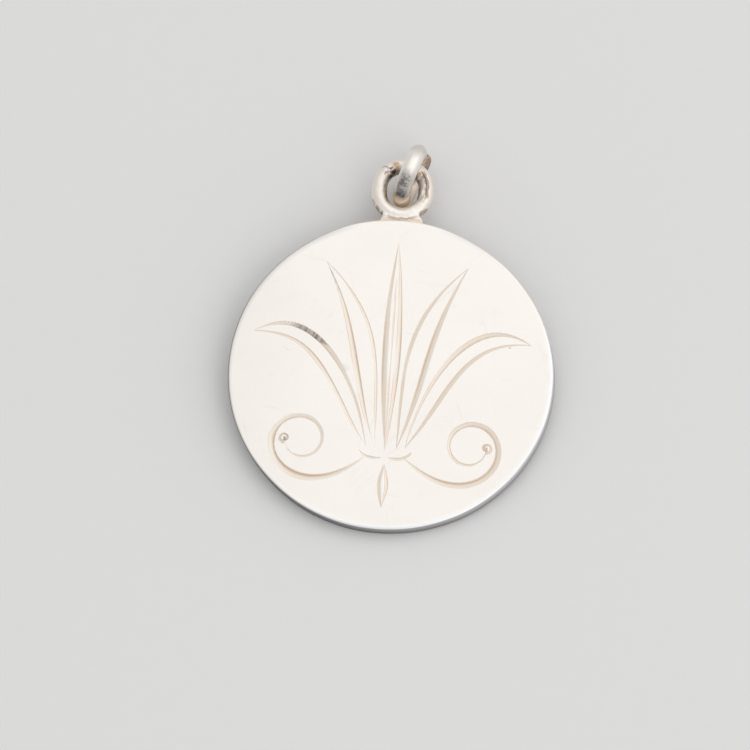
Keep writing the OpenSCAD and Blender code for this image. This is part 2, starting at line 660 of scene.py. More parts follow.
# Start, heading there, fullness, where it is widest, lean and chatter. Then a leaf's end, its heading there
# and its pull, or a curl's length, turn and lateness. Lengths are shares of the ornament's half height.
ORNAMENT: tuple[LeafCut | CurlCut, ...] = (
    LeafCut((0.00, -0.58), 83, 0.85, 0.45, Lean.LEFT, 0.0, (0.00, 1.00), 97, 0.40),
    LeafCut((0.00, -0.52), 90, 0.10, 0.45, Lean.LEFT, 0.0, (0.00, 0.72), 90, 0.40, False),
    LeafCut((0.08, -0.56), 89, 0.50, 0.50, Lean.RIGHT, 0.0, (0.51, 0.83), 42, 0.42),
    LeafCut((0.08, -0.56), 72, 1.00, 0.45, Lean.RIGHT, 0.0, (0.51, 0.83), 62, 0.42),
    LeafCut((0.14, -0.55), 79, 0.85, 0.62, Lean.LEFT, 1.0, (0.99, 0.27), -32, 0.42),
    LeafCut((0.14, -0.55), 56, 0.65, 0.45, Lean.RIGHT, 0.3, (0.99, 0.27), -4, 0.42),
    LeafCut((0.00, -0.68), -72, 0.40, 0.45, Lean.RIGHT, 0.0, (0.00, -1.00), -108, 0.40),
    LeafCut((0.02, -0.63), -8, 0.45, 0.45, Lean.RIGHT, 0.0, (0.19, -0.58), 50, 0.40),
    CurlCut((0.14, -0.63), -38, 1.10, 0.36, Lean.RIGHT, 1.6, 1.80, 490, 1.75),
)


@dataclass
class Graver:
    """The engraver's hand: makes the cutting shape of each line. Lengths are in millimetres."""

    half_height: float
    face: float
    fine: float = 0.12
    full: float = 0.46
    eye: float = 0.7
    eye_turns: float = 1.1
    # In shares of an eye: the spiral's outer and inner radius, how unevenly it runs, its narrowest and
    # widest cut, and the radius of the point in its middle and how far that is lifted
    eye_radii: Pair = (0.56, 0.24)
    eye_uneven: Pair = (0.95, 1.05)
    eye_widths: Pair = (0.22, 0.32)
    eye_point: float = 0.12
    eye_lift: float = 0.024
    # Section of a cut one unit wide: the wide wall's foot and bend, the bottom, and the narrow wall's foot
    section: tuple[Pair, ...] = ((-0.92, 0.03), (-0.74, 0.0), (-0.46, -0.065), (0.10, -0.27),
                                 (0.26, 0.0), (0.34, 0.14), (0.34, 0.5), (-0.92, 0.5))
    # Steps along a curl or a spiral, a leaf's cut, one where the graver jumped, and a curl to find its eye
    curl_steps: int = 40
    leaf_steps: int = 48
    jump_steps: int = 110
    eye_steps: int = 96
    # How far the hand sways across and along the face, how quickly the sway sets in from an end of a line,
    # its slow and quick swing and the spells of chatter along the line, the quick swing's share, and how
    # much the sway swells a width and the chatter shakes it
    sway: Pair = (0.018, 0.012)
    sway_lead: float = 6.0
    swings: Triple = (5.0, 11.0, 7.0)
    quick_share: float = 0.6
    swells: float = 0.06
    shakes: float = 0.09
    hand: random.Random = field(default_factory=lambda: random.Random(11))

    def sweep(self, path: list[Vector], widths: list[float], lean: Lean) -> bpy.types.Object:
        """Moves the graver's tip along a path.

        Args:
            path: Points on the face.
            widths: Width of the cut at each point.
            lean: The side with the wide wall.

        Returns:
            The closed cutting shape.
        """
        tip = drawn("graver tip", [(across * lean.value, up) for across, up in self.section], True)
        shape = drawn("cut", path, False)
        shape.data.bevel_mode = "OBJECT"
        shape.data.bevel_object = tip
        shape.data.use_fill_caps = True
        for point, width in zip(shape.data.splines[0].points, widths):
            point.radius = width
        shape.location.z = self.face
        only(shape)
        bpy.ops.object.convert(target="MESH")
        shape = bpy.context.object
        settle_place(shape)
        with shaping(shape, lambda spot: True):
            bpy.ops.mesh.remove_doubles(threshold=1e-4)
            bpy.ops.mesh.normals_make_consistent(inside=False)
        bpy.data.objects.remove(tip, do_unlink=True)
        return shape

    def steps(self, cut: LeafCut | CurlCut) -> int:
        """Number of steps along a line."""
        if isinstance(cut, CurlCut):
            return self.curl_steps
        return self.jump_steps if cut.chatter >= 1 else self.leaf_steps

    def line(self, cut: LeafCut | CurlCut, half: int) -> bpy.types.Object:
        """Cutting shape of one line of the ornament, with the unsteadiness of a hand.

        Args:
            cut: The line.
            half: 1 for the line as listed, -1 for its mirror image.

        Returns:
            The cutting shape.
        """
        steps = self.steps(cut)
        path = cut.path(self.half_height, steps)
        starts = [self.hand.uniform(0, math.tau) for _ in self.swings]
        widths = []
        for i, spot in enumerate(path):
            share = i / steps
            slow, quick, spell = (math.sin(often * share + start)
                                  for often, start in zip(self.swings, starts))
            sway = slow + self.quick_share * quick
            fade = min(1.0, self.sway_lead * share, self.sway_lead * (1 - share))
            spot.x = half * spot.x + self.sway[0] * sway * fade
            spot.y += self.sway[1] * sway * fade
            shake = cut.chatter * (0.5 + 0.5 * spell) * self.hand.uniform(-self.shakes, self.shakes)
            widths.append(cut.width(share, self.fine, self.full) * (1 + self.swells * sway + shake))
        return self.sweep(path, widths, cut.lean if half > 0 else Lean(-cut.lean.value))

    def spiral(self, middle: Vector, start: float, way: int) -> bpy.types.Object:
        """Cutting shape of the tight spiral that ends a curl.

        Args:
            middle: The middle of the spiral.
            start: The angle at which it starts, in radians.
            way: 1 where it turns left and -1 where it turns right.

        Returns:
            The cutting shape.
        """
        outer, inner = self.eye_radii
        path, widths = [], []
        for i in range(self.curl_steps + 1):
            share = i / self.curl_steps
            radius = self.eye * (outer - (outer - inner) * share) * self.hand.uniform(*self.eye_uneven)
            path.append(middle + radius * heading(start + way * math.tau * self.eye_turns * share))
            widths.append(self.eye * self.hand.uniform(*self.eye_widths))
        return self.sweep(path, widths, Lean(float(way)))

    def engrave(self, piece: bpy.types.Object) -> None:
        """Cuts the whole ornament into a piece's face, then the eyes of its curls, each with a point.

        Args:
            piece: The piece to engrave.
        """
        for cut in ORNAMENT:
            for half in (1, -1) if cut.mirrored else (1,):
                carve(piece, self.line(cut, half))
        point_z = self.face + self.eye * self.eye_lift
        for eye, start, way in self.eyes():
            carve(piece, self.spiral(eye, start, way))
            carve(piece, ball("eye point", self.eye * self.eye_point, (eye.x, eye.y, point_z)))

    def eyes(self) -> list[tuple[Vector, float, int]]:
        """Finds where the curls end.

        Returns:
            The middle of each eye, the angle where its curl comes in, and which way that turns.
        """
        found = []
        for cut in ORNAMENT:
            if isinstance(cut, CurlCut):
                before, end = cut.path(self.half_height, self.eye_steps)[-2:]
                back = before - end
                found.append((end, math.atan2(back.y, back.x), 1))
                found.append((Vector((-end.x, end.y)), math.atan2(back.y, -back.x), -1))
        return found


# Finishes


@dataclass(frozen=True)
class Spot:
    """A worn or stained place: where it is, how wide, and how strong."""

    x: float
    y: float
    z: float
    width: float
    strength: float

    def near(self, place: Place, core: float) -> Value:
        """How much the spot covers a place: all of it within a share of its width, its core."""
        x, y, z = place
        far = length(x - self.x, y - self.y, z - self.z)
        return far.rise(self.width, self.width * core) * self.strength


@dataclass(frozen=True)
class Arc:
    """A curved line on the silver: the middle and radius of its curve, and where and how far it runs.

    It is full over a core, a share of its thickness, and up to a share of its reach.
    """

    x: float
    y: float
    radius: float
    at: Pair
    reach: float
    core: ClassVar[float] = 0.22
    full: ClassVar[float] = 0.4

    def mark(self, place: Place, thick: float) -> Value:
        """Draws the line.

        Args:
            place: Place in millimetres.
            thick: Half its thickness there.

        Returns:
            1 on the line and 0 off it, fading towards its ends.
        """
        x, y, _ = place
        off = length(x - self.x, y - self.y) - self.radius
        along = length(x - self.at[0], y - self.at[1])
        return abs(off).rise(thick, thick * self.core) * along.rise(self.reach, self.reach * self.full)


@dataclass(frozen=True)
class Outline:
    """The sizes that the satin finish follows, in millimetres.

    The loop's middles are those of its near and far half rings, and its radius goes to its wire's middle.
    """

    disc_r: float
    face: float
    loop_middles: Pair
    loop_r: float
    eyes: tuple[Pair, ...]


class Ground:
    """Which part of the disc a place is on, as shares from 0 to 1, and the patterns that its looks share.

    Past is how far the place is past the disc's edge, and below how deep it is under the face, both in
    millimetres. The inner part is the face within the edge, and the edge is the outermost face. The borders
    are where a share begins and is full, and a band is also where it begins to fade and ends.
    """

    soldered_y: Pair = (-0.4, 0.1)
    loop_past: Pair = (0.30, 0.42)
    neck_past: Pair = (0.04, 0.14)
    inner_past: Pair = (-0.3, -0.4)
    upper_z: Pair = (0.0, 0.1)
    cut_below: Pair = (0.003, 0.02)
    deep_below: Pair = (0.05, 0.13)
    rim_past: Pair = (-0.20, -0.10)
    rim_below: Pair = (0.025, 0.095)
    rim_slope: float = 0.004
    edge_past: Band = (-0.40, 0.02, 0.20, 0.30)

    def __init__(self, sheet: Sheet, lay: Lay, outline: Outline) -> None:
        """Works out the parts and the patterns.

        Args:
            sheet: The sheet that they are drawn on.
            lay: How the pendant lies.
            outline: The sizes of the disc and its loop.
        """
        self.sheet = sheet
        self.outline = outline
        self.spot = sheet.place(lay.to_world())
        self.place = x, y, z = sheet.parts(self.spot)
        self.past = past = length(x, y) - outline.disc_r
        self.below = below = outline.face - z
        soldered = (y - outline.disc_r).rise(*self.soldered_y)
        self.loop = past.rise(*self.loop_past) * soldered
        self.neck = past.rise(*self.neck_past) * soldered * (1 - self.loop)
        self.inner = past.rise(*self.inner_past) * z.rise(*self.upper_z)
        self.in_cut = below.rise(*self.cut_below) * self.inner
        self.deep = below.rise(*self.deep_below) * self.inner
        outside = (below - x * self.rim_slope).rise(*self.rim_below) * past.rise(*self.rim_past)
        self.rim = outside * (1 - self.loop)
        self.edge = past.band(*self.edge_past) * (1 - self.rim)
        self.cloud = sheet.noise(self.spot, 0.16, 2.0)
        self.patchy = sheet.noise(self.spot, 2.4, 4.0, 0.65)
        self.flecks = sheet.noise(self.spot, 7.0, 3.0, 0.6)
        self.speck = sheet.noise(self.spot, 9.0, 3.0, 0.65)
        self.rough = (self.patchy - 0.5) * 0.9 + (self.flecks - 0.5) * 0.7


@dataclass(frozen=True)
class SatinSilver:
    """Brushed and worn sterling silver: tan cuts, a rim of painted light and shade, a tarnished loop with
    painted shade.
    """

    face: Colour = (0.945, 0.912, 0.862, 1)
    # Painted shade on the face's left side, mixed with random tone
    shade: Colour = (0.885, 0.845, 0.805, 1)
    # Painted highlight on the edge's bright side
    painted_edge_highlight: Colour = (0.97, 0.975, 0.99, 1)
    # Painted glints: white flecks in a cut, and a highlight on the loop's foot
    painted_glint: Colour = (1.0, 0.955, 0.895, 1)
    wall: Colour = (0.92, 0.825, 0.72, 1)
    cut: Colour = (0.70, 0.565, 0.43, 1)
    solder: Colour = (0.78, 0.67, 0.56, 1)
    # Painted shade over the chatter marks
    chatter: Colour = (0.24, 0.22, 0.215, 1)
    # The rim's colours: painted light on the right, painted shade on the left and darker painted shadow
    # towards its foot
    rim: Colour = (0.75, 0.74, 0.76, 1)
    rim_foot: Colour = (0.42, 0.41, 0.41, 1)
    rim_painted_shade: Colour = (0.24, 0.24, 0.25, 1)
    rim_foot_painted_shadow: Colour = (0.10, 0.095, 0.09, 1)
    wire: Colour = (0.92, 0.86, 0.785, 1)
    dull_and_shade: Colour = (0.50, 0.41, 0.35, 1)
    gold: Colour = (0.56, 0.36, 0.18, 1)
    # Tarnish, also standing as painted shade inside the loop's hole
    tarnish_and_hole_shade: Colour = (0.11, 0.075, 0.045, 1)
    hairs: tuple[Hair, ...] = (
        Hair(8, 2.6, 0.10, 0.012, 0.0),
        Hair(-47, 2.0, 0.08, 0.010, 31.0),
        Hair(71, 2.2, 0.09, 0.009, 63.0),
    )
    # Dull spots: those low in the loop's crooks are painted shade, the others dull patches
    dull_and_shaded_spots: tuple[Spot, ...] = (
        Spot(-1.95, 12.50, 0.05, 0.55, 0.75),
        Spot(-1.70, 12.00, 0.10, 0.55, 0.9),
        Spot(-1.30, 11.65, 0.15, 0.50, 0.9),
        Spot(-1.30, 11.42, 0.35, 0.35, 0.8),
        Spot(1.65, 12.05, 0.15, 0.50, 0.8),
        Spot(1.38, 11.75, 0.25, 0.45, 0.8),
        Spot(-1.25, 14.05, 0.50, 0.25, 0.7),
        Spot(1.40, 13.55, 0.50, 0.30, 0.5),
        Spot(-1.15, 14.62, 0.50, 0.28, 0.8),
    )
    gold_spots: tuple[Spot, ...] = (
        Spot(-0.57, 15.20, 0.50, 0.50, 0.9),
        Spot(-0.50, 14.98, 0.45, 0.45, 0.9),
        Spot(1.02, 14.60, 0.42, 0.36, 1.0),
        Spot(1.12, 14.30, 0.35, 0.26, 0.8),
        Spot(1.46, 11.90, 0.27, 0.32, 0.6),
        Spot(-1.22, 14.62, 0.50, 0.15, 0.8),
    )
    dark_spots: tuple[Spot, ...] = (
        Spot(-0.70, 14.74, 0.32, 0.45, 1.0),
        Spot(-0.84, 14.46, 0.20, 0.38, 1.0),
        Spot(-0.88, 15.00, 0.50, 0.18, 0.9),
        Spot(-1.02, 14.69, 0.49, 0.12, 0.8),
        Spot(1.18, 14.62, 0.46, 0.13, 0.8),
        Spot(1.30, 14.42, 0.50, 0.14, 0.8),
        Spot(1.02, 14.20, 0.10, 0.30, 0.9),
        Spot(-1.26, 14.56, 0.52, 0.10, 0.7),
    )
    scratches: tuple[Arc, ...] = (
        Arc(-6.45, 3.20, 1.95, (-7.09, 1.35), 0.55),
        Arc(-8.00, -4.05, 1.22, (-7.80, -2.84), 0.75),
        Arc(-9.60, -0.60, 9.10, (-1.00, -3.50), 0.8),
    )
    nub: Arc = Arc(-1.33, 14.88, 0.24, (-1.22, 15.10), 0.42)
    seam: Arc = Arc(0.0, 13.735, 2.475, (0.0, 11.26), 1.6)
    dot: Spot = Spot(8.0, 2.32, 0.475, 0.09, 0.8)
    # Half thicknesses of the lines, shares of a spot that it covers wholly, and depth and width of an eye
    scratch_thick: float = 0.045
    seam_thick: float = 0.14
    nub_thick: float = 0.07
    spot_core: float = 0.2
    small_core: float = 0.3
    eye_deep: float = 0.1
    eye_wide: float = 0.45
    # Where the looks change, in millimetres: where a border begins and is full, or a band
    shaded_x: Pair = (-4.5, -10.5)
    bright_edge: Pair = (1.0, 6.0)
    dim_edge: Pair = (-1.0, -8.0)
    dim_beside: Pair = (2.2, 5.0)
    tan_x: Pair = (1.0, 6.0)
    burr_below: Band = (0.002, 0.007, 0.010, 0.022)
    foot_shine_y: Pair = (12.7, 11.8)
    foot_shine_x: Pair = (0.2, 1.4)
    painted_light_x: Pair = (-8.0, 11.0)
    rim_foot_below: Pair = (0.18, 0.85)
    hole_off: Pair = (-0.24, -0.46)
    hole_past: Pair = (0.05, 0.25)
    hole_near: Pair = (-1.1, -0.3)
    hole_bare_x: Pair = (0.8, 1.2)
    hole_bare_z: Pair = (0.2, 0.4)
    flat_off: float = 0.10
    flat_wide: Pair = (0.20, 0.07)
    flat_x: Pair = (0.95, 1.25)
    flat_y: Band = (12.6, 13.1, 14.6, 15.0)
    flat_z: Pair = (0.2, 0.35)
    seam_z: Pair = (-0.1, 0.1)
    upper_leaf: Pair = (-0.48, -0.34)
    upper_y: Pair = (0.9, 1.5)
    jumped_x: Band = (-7.7, -6.6, -5.0, -3.4)
    white_x: Band = (-9.1, -8.4, -6.9, -6.2)

    def patch(self, place: Place, spots: tuple[Spot, ...], rough: Value) -> Value:
        """How much a group of spots covers a place, with an edge as rough as a pattern about zero."""
        cover = strongest(spot.near(place, self.spot_core) for spot in spots)
        return (cover * 1.5 + rough - 0.30).rise(0.0, 1.25)

    def scratched(self, ground: Ground) -> Value:
        """How much of a place is scratched, off the loop."""
        hairs = strongest(ground.sheet.hairlines(ground.spot, hair) for hair in self.hairs)
        stray = strongest(scratch.mark(ground.place, self.scratch_thick) for scratch in self.scratches)
        return (hairs * 0.6).most(stray) * (1 - ground.loop)

    def stains(self, ground: Ground) -> tuple[Value, Value, Value, Value]:
        """Tarnish on the loop and in the eyes of the curls, with painted shade on the loop.

        Tarnish lies along the worn flat beside the loop's hole, at the solder and in single spots. Inside the
        hole it is darkened further as painted shade, and some dull spots are painted shade in the crooks
        where the loop meets the disc.

        Args:
            ground: The disc's parts and patterns.

        Returns:
            How much of a place is dull (with the painted shade of the crooks), golden and dark, and how much
            of it is in a seam.
        """
        x, y, z = ground.place
        near_y, far_y = ground.outline.loop_middles
        rough, flecks = ground.rough, ground.flecks
        warped = across, along, _ = ground.sheet.parts(ground.sheet.warped(ground.spot, 3.0, 0.35))
        off_wire = length(across, along - along.least(far_y).most(near_y)) - ground.outline.loop_r
        # Inside the loop's hole: tarnish, darkened further as painted shade
        inside = off_wire.rise(*self.hole_off) * ground.past.rise(*self.hole_past)
        inside = inside * ((y - near_y).rise(*self.hole_near) * 0.65 + 0.35)
        inside = inside * (1 - x.rise(*self.hole_bare_x) * z.rise(*self.hole_bare_z) * 0.6)
        flat = abs(off_wire - self.flat_off).rise(*self.flat_wide) * x.rise(*self.flat_x)
        flat = flat * y.band(*self.flat_y) * z.rise(*self.flat_z)
        dull_and_shade = self.patch(warped, self.dull_and_shaded_spots, rough).most((flat * 0.9 + rough * 0.5).rise(0.1, 0.9))
        golden = self.patch(warped, self.gold_spots, rough)
        dark = self.patch(warped, self.dark_spots, rough).most(inside * (0.66 + rough * 1.3))
        for eye_x, eye_y in ground.outline.eyes:
            eye = Spot(eye_x, eye_y, ground.outline.face - self.eye_deep, self.eye_wide, 1.0)
            stained = eye.near(ground.place, self.small_core) * ground.in_cut
            golden = golden.most(stained * (0.35 + flecks.rise(0.40, 0.62) * 0.6))
            if eye_x < 0:
                dark = dark.most(stained * flecks.rise(0.40, 0.56) * 0.5)
        seam = self.seam.mark(warped, self.seam_thick) * z.rise(*self.seam_z)
        return dull_and_shade, golden, dark, seam.most(self.nub.mark(ground.place, self.nub_thick) * ground.loop)

    def jumps(self, ground: Ground) -> tuple[Value, Value]:
        """The upper cut of one leaf, where the graver jumped.

        Args:
            ground: The disc's parts and patterns.

        Returns:
            How much of a place is dark hatching, and how much is white flecks towards the leaf's tip.
        """
        x, y, _ = ground.place
        across_leaf = ground.sheet.stretched(ground.spot, 27, (11.0, 1.6, 1.0))
        hatch = ground.sheet.noise(across_leaf, 1.0, 3.0, 0.7)
        upper = ground.in_cut * (y + x * 0.5).rise(*self.upper_leaf) * y.rise(*self.upper_y)
        dark = upper * x.band(*self.jumped_x) * (0.35 + hatch.rise(0.40, 0.60) * 0.55)
        return dark, upper * x.band(*self.white_x) * hatch.rise(0.44, 0.54)

    def dress(self, piece: bpy.types.Object, lay: Lay, outline: Outline) -> None:
        """Gives a piece this finish.

        Args:
            piece: The piece.
            lay: How the pendant lies.
            outline: The sizes that the finish follows.
        """
        sheet = Sheet("satin silver")
        ground = Ground(sheet, lay, outline)
        x, y, _ = ground.place
        spot, loop, rim, edge, in_cut = ground.spot, ground.loop, ground.rim, ground.edge, ground.in_cut
        cloud, patchy, flecks, speck = ground.cloud, ground.patchy, ground.flecks, ground.speck
        brushed = sheet.noise(sheet.stretched(spot, 1.5, (0.30, 16.0, 1.0)), 1.0, 3.0, 0.6)
        filed = sheet.noise(sheet.stretched(spot, 0.0, (0.5, 0.5, 16.0)), 1.0, 3.0, 0.65)
        scratched = self.scratched(ground)
        dot = self.dot.near(ground.place, self.small_core)
        dull_and_shade, golden, dark, seam = self.stains(ground)
        chatter_with_painted_shade, painted_white_glints = self.jumps(ground)

        # The face: painted shade makes it greyer to the left, mixed with random cloudy tone. Its edge has a
        # painted highlight on one side and painted shade on the other
        shaded = x.rise(*self.shaded_x) * 0.65 + cloud * 0.4 + (patchy - 0.5) * 0.3
        toward = x * 0.6 - y * 0.8
        dim = toward.rise(*self.dim_edge) * abs(x).rise(*self.dim_beside)
        # Cuts: cream on some walls and tan on others, from tan patina in random patches and from painted
        # shade that makes the right half's cuts tan. They are darker at the bottom and along the burr at the
        # top
        tan = sheet.noise(spot, 0.22, 1.0).rise(0.34, 0.60).most(x.rise(*self.tan_x))
        burr = ground.below.band(*self.burr_below) * ground.inner * tan
        bottom = (ground.deep * (0.45 + speck * 0.7)).most(burr * (0.3 + patchy * 0.8))
        # Painted highlight on the loop's foot. The rim has painted light on the right and painted shade on
        # the left, darker painted shadow towards its foot, and streaks from filing
        painted_foot_highlight = y.rise(*self.foot_shine_y) * (1 - x.rise(*self.foot_shine_x) * 0.55)
        painted_light_right = x.rise(*self.painted_light_x)
        foot = ground.below.rise(*self.rim_foot_below) + (filed - 0.5) * 0.4
        rim_colour = sheet.mix(foot, sheet.mix(painted_light_right, self.rim_painted_shade, self.rim),
                               sheet.mix(painted_light_right, self.rim_foot_painted_shadow, self.rim_foot))
        colour = sheet.coats(self.face, (
            (shaded, self.shade),
            (edge * toward.rise(*self.bright_edge), self.painted_edge_highlight),
            (edge * dim * 0.35, self.rim_foot),
            (in_cut * (0.40 + tan * 0.5 + speck * 0.3), self.wall),
            (bottom, self.cut),
            (chatter_with_painted_shade, self.chatter),
            (painted_white_glints * 0.9, self.painted_glint),
            # The loop, with a painted highlight on its filed foot
            (loop, sheet.mix(painted_foot_highlight, self.wire, self.painted_glint)),
            (ground.neck * (0.65 + patchy * 0.6), self.solder),
            (rim, rim_colour),
            (scratched * 0.08 + dot, self.dull_and_shade),
            (dull_and_shade.most(seam * 0.75), self.dull_and_shade),
            (golden, sheet.mix(flecks.rise(0.38, 0.66), self.gold, self.solder)),
            (dark, self.tarnish_and_hole_shade),
        ))
        roughness = (0.36 + cloud * 0.06 + scratched * 0.06 - in_cut * 0.05 + loop * (patchy * 0.2 - 0.02)
                     + dull_and_shade.most(dark) * 0.1)
        pits = (sheet.noise(spot, 2.2, 3.0, 0.55) * 11.0 + flecks * 2.0) * loop
        relief = (brushed * (1 - loop) * (1 - in_cut) * 0.4 + rim * filed * 2.5 + pits
                  + speck * (0.3 + in_cut * 1.2) + chatter_with_painted_shade * 3.0 - scratched * 0.8 - seam * 4.0)
        sheet.metal(colour, roughness, relief, 1 - golden * 0.4 - in_cut * (1 - chatter_with_painted_shade) * 0.7)
        sheet.cover(piece)


@dataclass(frozen=True)
class Stretch:
    """A stretch of painted shade, or of a painted glint, on the ring: its band around the ring, in degrees,
    and across its wire, in millimetres.

    A band is where the colour starts, is full, begins to fade and ends.
    """

    around: Band
    across: Band

    def cover(self, turn: Value, side: Value) -> Value:
        """How much of a place it covers."""
        return turn.band(*self.around) * side.band(*self.across)


@dataclass(frozen=True)
class PolishedSilver:
    """Polished silver wire, scratched and worn, with painted light, shade and a golden reflection on it."""

    bright: Colour = (0.95, 0.91, 0.855, 1)
    cream: Colour = (1.0, 0.93, 0.80, 1)
    grey: Colour = (0.24, 0.225, 0.22, 1)
    dark: Colour = (0.105, 0.095, 0.125, 1)
    gold: Colour = (0.99, 0.80, 0.55, 1)
    amber: Colour = (0.82, 0.51, 0.27, 1)
    rose: Colour = (0.72, 0.60, 0.52, 1)
    bronze: Colour = (0.52, 0.37, 0.25, 1)
    brown: Colour = (0.20, 0.135, 0.09, 1)
    hairs: tuple[Hair, ...] = (Hair(35, 5.0, 0.4, 0.03, 3.0), Hair(-20, 4.0, 0.4, 0.03, 44.0))
    # Painted grey shade, where the ring is also worn, painted dark shade and a painted glint
    worn_and_shaded: Stretch = Stretch((-176, -149, -134, -120), (-0.56, -0.22, 0.18, 0.66))
    shade: Stretch = Stretch((-137, -119, -114, -104), (-0.46, -0.16, 0.26, 0.66))
    glint: Stretch = Stretch((-141, -136, -135, -130), (-0.34, -0.05, 0.22, 0.48))
    # Bands in degrees from the ring's lowest point, borders across the wire in millimetres, and the streak's
    # middle, its bend and its half width. Under the loop they paint a golden reflection, amber, a cream
    # highlight streak and a dark shaded edge
    under: Band = (-120, -104, -60, -40)
    under_edge: Band = (-146, -124, -100, -90)
    under_edge_side: Pair = (-0.36, -0.52)
    amber_turn: Band = (-114, -104, -60, -40)
    brown_turn: Band = (-90, -80, -70, -50)
    # The far side: rose painted shade, darker brown with painted bronze glints towards the joint
    far_turn: Pair = (-60, -40)
    crown_turn: Pair = (136, 156)
    streak_turn: float = -99.0
    streak_bend: float = 20.0
    streak_wide: Pair = (9.0, 3.0)
    streak_side: Pair = (-0.45, -0.1)

    def dress(self, piece: bpy.types.Object, ring_to_world: Matrix, joint: float) -> None:
        """Gives a piece this finish.

        Colour is painted down the arc in front: bright at the top, painted grey shade where it is also worn,
        then painted dark shade with a painted glint, then a painted golden reflection with a cream highlight
        where it turns under. The far side has rose painted shade, darker brown with painted bronze glints
        towards the joint.

        Args:
            piece: The ring.
            ring_to_world: From the ring's own frame to the world.
            joint: Where the ring's ends meet, in degrees from its lowest point.
        """
        sheet = Sheet("polished silver")
        own = sheet.place(ring_to_world)
        down, ahead, side = sheet.parts(own)
        turn = ahead.angle(down) * (180 / math.pi)
        patchy = sheet.noise(own, 1.8, 4.0, 0.6)
        flecks = sheet.noise(own, 8.0, 3.0, 0.65)
        rough = (patchy - 0.5) * 1.6 + (flecks - 0.5) * 2.2
        lines = strongest(sheet.hairlines(own, hair) for hair in self.hairs)

        crown = turn.band(joint + 4, joint + 10, *self.crown_turn)
        worn_and_shaded = self.worn_and_shaded.cover(turn, side)
        edge = side.rise(*self.under_edge_side) * turn.band(*self.under_edge)
        golden = turn.band(*self.under).most(edge)
        amber = turn.band(*self.amber_turn)
        off_streak = abs(turn - self.streak_turn + side * side * self.streak_bend)
        streak = off_streak.rise(*self.streak_wide) * side.rise(*self.streak_side)
        painted_dark_edge = turn.band(*self.brown_turn)
        far = turn.band(*self.far_turn, joint, joint + 2)
        painted_shade_to_joint = far * turn.rise(joint - 70, joint - 30)
        end = turn.band(joint - 1, joint + 1, joint + 3, joint + 20)
        colour = sheet.coats(self.bright, (
            # Down the front arc: painted grey shade, also marking wear, grey painted shade on the crown,
            # painted dark shade and a painted glint
            ((worn_and_shaded * (0.9 + rough)).most(crown * 0.25), self.grey),
            (self.shade.cover(turn, side) * (1.0 + rough * 0.5), self.dark),
            (self.glint.cover(turn, side) * (0.30 + rough * 0.5), self.bright),
            # Under the loop: a painted golden reflection, amber, a cream painted highlight streak and a dark
            # painted edge
            (golden * (0.90 + rough * 0.4), self.gold),
            (amber * (0.7 + rough * 0.4), self.amber),
            (streak * (0.9 + rough * 0.4), self.cream),
            (painted_dark_edge * (0.35 + rough * 0.5), self.brown),
            # Painted shade on the far side, darker brown with painted bronze glints towards the joint
            (far * (0.85 + rough * 0.4), self.rose),
            (painted_shade_to_joint * (0.95 + rough * 0.3), sheet.mix(patchy.rise(0.38, 0.68), self.brown, self.bronze)),
            (end * patchy.rise(0.4, 0.7), self.rose),
        ))
        # A dull film in place of bare metal under the painted reflection, highlight and far shade, so that
        # they show
        film = (golden * 0.5).most(painted_shade_to_joint * 0.4).most(streak * 0.9)
        roughness = 0.34 + patchy * 0.14 + worn_and_shaded * 0.06 + lines * 0.1
        relief = sheet.noise(own, 6.0, 4.0, 0.7) * 1.6 + worn_and_shaded * flecks * 4.0 - lines * 0.8
        sheet.metal(colour, roughness, relief, 1 - film)
        sheet.cover(piece)


@dataclass(frozen=True)
class PaleFloor:
    """Plain pale matt board, with a faint grain."""

    colour: Colour = (0.80, 0.80, 0.80, 1)
    grain: Colour = (0.788, 0.788, 0.788, 1)
    roughness: float = 0.8

    def dress(self, piece: bpy.types.Object) -> None:
        """Gives the floor this finish.

        Args:
            piece: The floor.
        """
        sheet = Sheet("pale floor")
        grain = sheet.noise(sheet.place(Matrix.Identity(4)), 0.8, 3.0)
        colour = sheet.mix(grain, self.colour, self.grain)
        skin = sheet.node("ShaderNodeBsdfPrincipled", {}, {"Base Color": colour,
                                                           "Roughness": self.roughness})
        sheet.node("ShaderNodeOutputMaterial", {}, {0: skin.outputs[0]})
        sheet.cover(piece)


# Pieces


